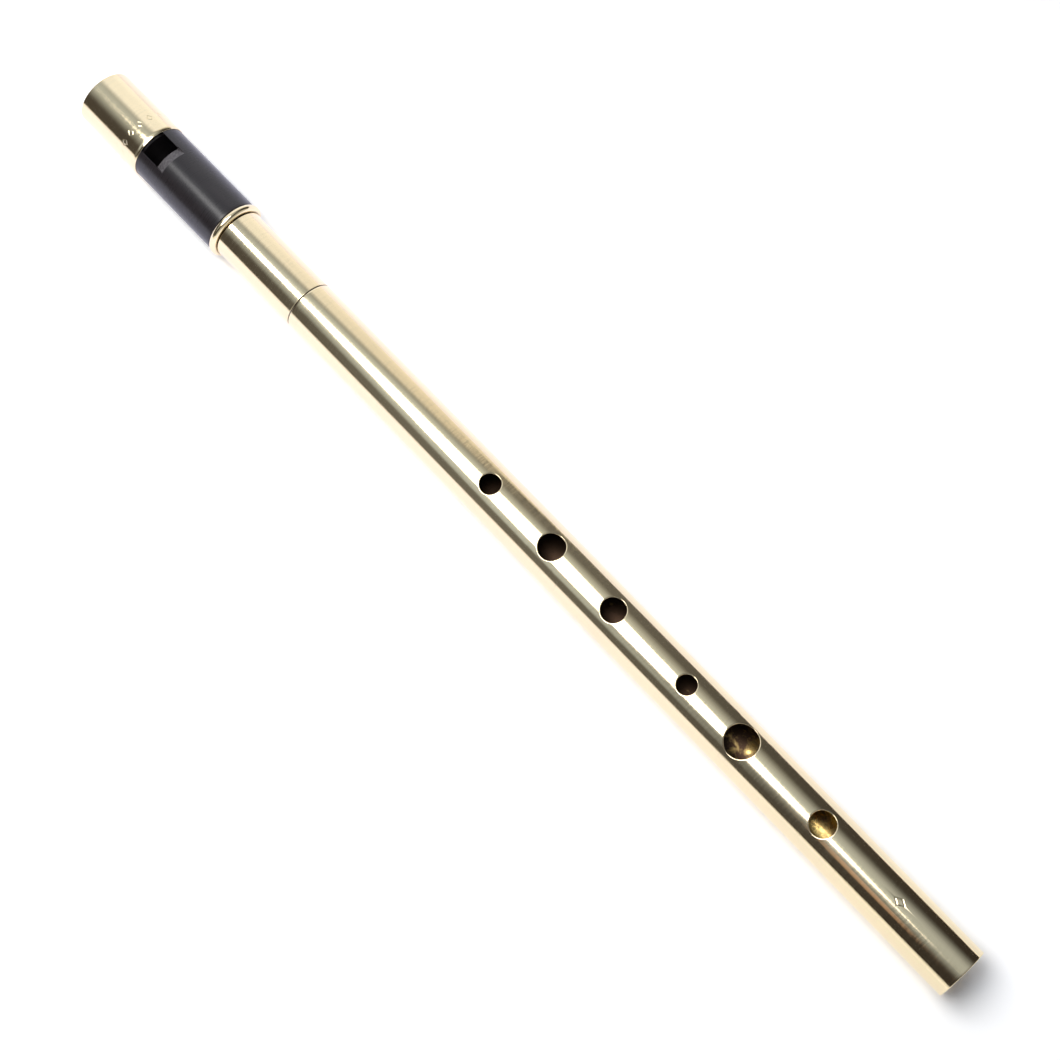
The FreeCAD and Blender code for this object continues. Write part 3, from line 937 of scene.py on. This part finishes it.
room = {
    # levels, and the directions along x between which each passes into the next
    "dark": (0.036, 0.030, 0.027, 1),
    "pale": (0.165, 0.165, 0.17, 1),
    "far": (0.07, 0.063, 0.06, 1),
    "foot": (0.06, 0.06, 0.06, 1),
    "darkToPale": (0.06, -0.30),
    "paleToFar": (-0.34, -0.46),
    "darkToFoot": (0.2, 0.7),
    "mirroredFoot": (0.68, 0.69, 0.71, 1),
    "mirroredRise": (0.85, 0.15),   # from this height down, metal mirrors that level
    "shown": (1, 1, 1, 1),
    # the glow of the ceiling, in degrees from the vertical towards +Y
    "ceiling": 0.46,
    "ceilingTint": (0.88, 1.0, 1.14),
    "ceilingMiddle": (-2.0, 9.0),   # over the mouth and the foot
    "ceilingShift": (-0.08, 0.08),
    "ceilingFull": 4.0,
    "ceilingEnd": 54.0,
    "ceilingFade": (0.45, 0.02),
    # soft pale patches of the ceiling, seen from the whistle: middle and half sizes as slopes
    # along x and y, the share of the half size that is full, the level and the tint
    "lowest": 0.02,                 # least height that a slope is taken over
    "patches": (((-0.27, -0.25), (0.31, 0.56), 0.6, 0.42, (0.88, 1.0, 1.15)),
                ((-0.40, -1.13), (0.33, 0.95), 0.0, 0.45, (0.86, 1.0, 1.16)),
                ((-0.25, 0.40), (0.32, 1.10), 0.0, 0.17, (0.95, 1.0, 1.0))),
    # the pale wall beside the mouth fills the directions before its edge and below its top
    "wallEdge": -0.294,
    "wallSweep": (70, 95, 0, 0.07),     # between these leans the edge moves this far along x
    "wallSoft": 0.006,
    "wallTop": 47.0,                    # lean of the top at the edge, and its change along x
    "wallTopSlope": 109.0,
    "wallTopSoft": 10,
    "wallNear": (0.75, 0.70, 0.62, 1),
    "wallFar": (1.05, 1.08, 1.17, 1),
    "nearToFar": (-0.27, -0.52),
    "wallLift": (60, 90, 0, 0.12),      # between these leans the wall grows this much paler
    # the pale band low on the near side starts at this lean, and higher past the middle
    "band": (1, 1, 1, 1),
    "bandLean": 88.5,
    "bandRise": (-0.15, 0.05, 0, 8),
    "bandSoft": 1.5,
}


def softStep(tree, value, start, end, low=0.0, high=1.0):
    step = addNode(tree, "ShaderNodeMapRange", {0: value, 1: start, 2: end, 3: low, 4: high},
                   interpolation_type="SMOOTHSTEP")
    return step.outputs[0]


def tinted(tree, level, tint):
    scale = addNode(tree, "ShaderNodeVectorMath", {0: tint}, operation="SCALE")
    tree.links.new(level, scale.inputs["Scale"])
    return scale.outputs[0]


def addColours(tree, first, second):
    return addNode(tree, "ShaderNodeVectorMath", {0: first, 1: second}).outputs[0]


def patchOf(tree, slopes, middle, halfSizes, full, level, tint):
    # a soft ellipse of the ceiling: full inside its inner share, nothing at its rim
    offset = addNode(tree, "ShaderNodeVectorMath", {0: slopes, 1: (*middle, 0)},
                     operation="SUBTRACT").outputs[0]
    scaled = addNode(tree, "ShaderNodeVectorMath", {0: offset, 1: (*halfSizes, 1)},
                     operation="DIVIDE").outputs[0]
    radius = addNode(tree, "ShaderNodeVectorMath", {0: scaled}, operation="LENGTH").outputs["Value"]
    return tinted(tree, softStep(tree, radius, 1, full, 0, level), tint)


def makeWorld():
    # The room as the whistle sees it. Its level is the dim room, paler ahead of the mouth, plus a
    # ceiling that glows over the whistle and fades to either side, plus the soft patches. A pale
    # wall beside the mouth hides all of it, and a pale band lies low on the near side. To the
    # camera the room is plain white, and metal mirrors it paler past the foot than it lights.
    world = bpy.data.worlds.new("room")
    bpy.context.scene.world = world
    world.use_nodes = True
    tree = world.node_tree
    rays = addNode(tree, "ShaderNodeLightPath").outputs
    direction = addNode(tree, "ShaderNodeTexCoord").outputs["Generated"]
    x, y, z = addNode(tree, "ShaderNodeSeparateXYZ", {0: direction}).outputs
    lean = mathNode(tree, "DEGREES", mathNode(tree, "ARCTAN2", y, z))

    level = colourMix(tree, softStep(tree, x, *room["darkToPale"]), room["dark"], room["pale"])
    level = colourMix(tree, softStep(tree, x, *room["paleToFar"]), level, room["far"])
    shine = mathNode(tree, "MULTIPLY", rays["Is Glossy Ray"],
                     softStep(tree, z, *room["mirroredRise"]))
    footEnd = colourMix(tree, shine, room["foot"], room["mirroredFoot"])
    level = colourMix(tree, softStep(tree, x, *room["darkToFoot"]), level, footEnd)

    middle = softStep(tree, x, *room["ceilingShift"], *room["ceilingMiddle"])
    away = mathNode(tree, "ABSOLUTE", mathNode(tree, "SUBTRACT", lean, middle))
    ceiling = softStep(tree, away, room["ceilingEnd"], room["ceilingFull"], 0, room["ceiling"])
    ceiling = mathNode(tree, "MULTIPLY", ceiling, softStep(tree, x, *room["ceilingFade"]))
    colour = addColours(tree, level, tinted(tree, ceiling, room["ceilingTint"]))
    height = mathNode(tree, "MAXIMUM", z, room["lowest"])
    slopes = addNode(tree, "ShaderNodeCombineXYZ", {0: mathNode(tree, "DIVIDE", x, height),
                                                    1: mathNode(tree, "DIVIDE", y, height)})
    for patch in room["patches"]:
        colour = addColours(tree, colour, patchOf(tree, slopes.outputs[0], *patch))

    fromEdge = mathNode(tree, "SUBTRACT", x, room["wallEdge"])
    top = mathNode(tree, "MULTIPLY_ADD", fromEdge, room["wallTopSlope"], room["wallTop"])
    pastEdge = mathNode(tree, "SUBTRACT", fromEdge, softStep(tree, lean, *room["wallSweep"]))
    underTop = mathNode(tree, "SUBTRACT", lean, top)
    soft, topSoft = room["wallSoft"], room["wallTopSoft"]
    onWall = mathNode(tree, "MULTIPLY", softStep(tree, pastEdge, soft, -soft),
                      softStep(tree, underTop, -topSoft, topSoft))
    wall = colourMix(tree, softStep(tree, x, *room["nearToFar"]), room["wallNear"],
                     room["wallFar"])
    lift = tinted(tree, softStep(tree, lean, *room["wallLift"]), (1, 1, 1))
    colour = colourMix(tree, onWall, colour, addColours(tree, wall, lift))

    bandLean = mathNode(tree, "SUBTRACT", room["bandLean"], softStep(tree, x, *room["bandRise"]))
    low = mathNode(tree, "SUBTRACT", mathNode(tree, "MULTIPLY", lean, -1), bandLean)
    onBand = softStep(tree, low, -room["bandSoft"], room["bandSoft"])
    colour = colourMix(tree, onBand, colour, room["band"])
    colour = colourMix(tree, rays["Is Camera Ray"], colour, room["shown"])
    tree.links.new(colour, tree.nodes["Background"].inputs["Color"])


view = {
    "eye": (0.14255, -0.0943, 0.5001),
    "target": (0.0115, 0.00036, 0.00894),
    "roll": 0.797,              # from the whistle lying level, in radians
    "sensor": 36,
    "lens": 67.21,
}


def addCamera():
    # looks down on the whistle from the foot's side, rolled so that it lies across the frame
    eye = Vector(view["eye"])
    roll = view["roll"]
    back = (eye - Vector(view["target"])).normalized()
    along = Vector((1, 0, 0)) - back * back.x
    along.normalize()
    up = back.cross(along)
    right = along * math.cos(roll) + up * math.sin(roll)
    top = up * math.cos(roll) - along * math.sin(roll)
    camera = bpy.data.objects.new("camera", bpy.data.cameras.new("camera"))
    bpy.context.collection.objects.link(camera)
    turn = Matrix((right, top, back)).transposed().to_4x4()
    camera.matrix_world = Matrix.Translation(eye) @ turn
    camera.data.sensor_width = view["sensor"]
    camera.data.lens = view["lens"]
    bpy.context.scene.camera = camera


makeFloor()
addLights()
makeWorld()
addCamera()
bpy.context.scene.view_settings.view_transform = "Standard"

print("studio ready")
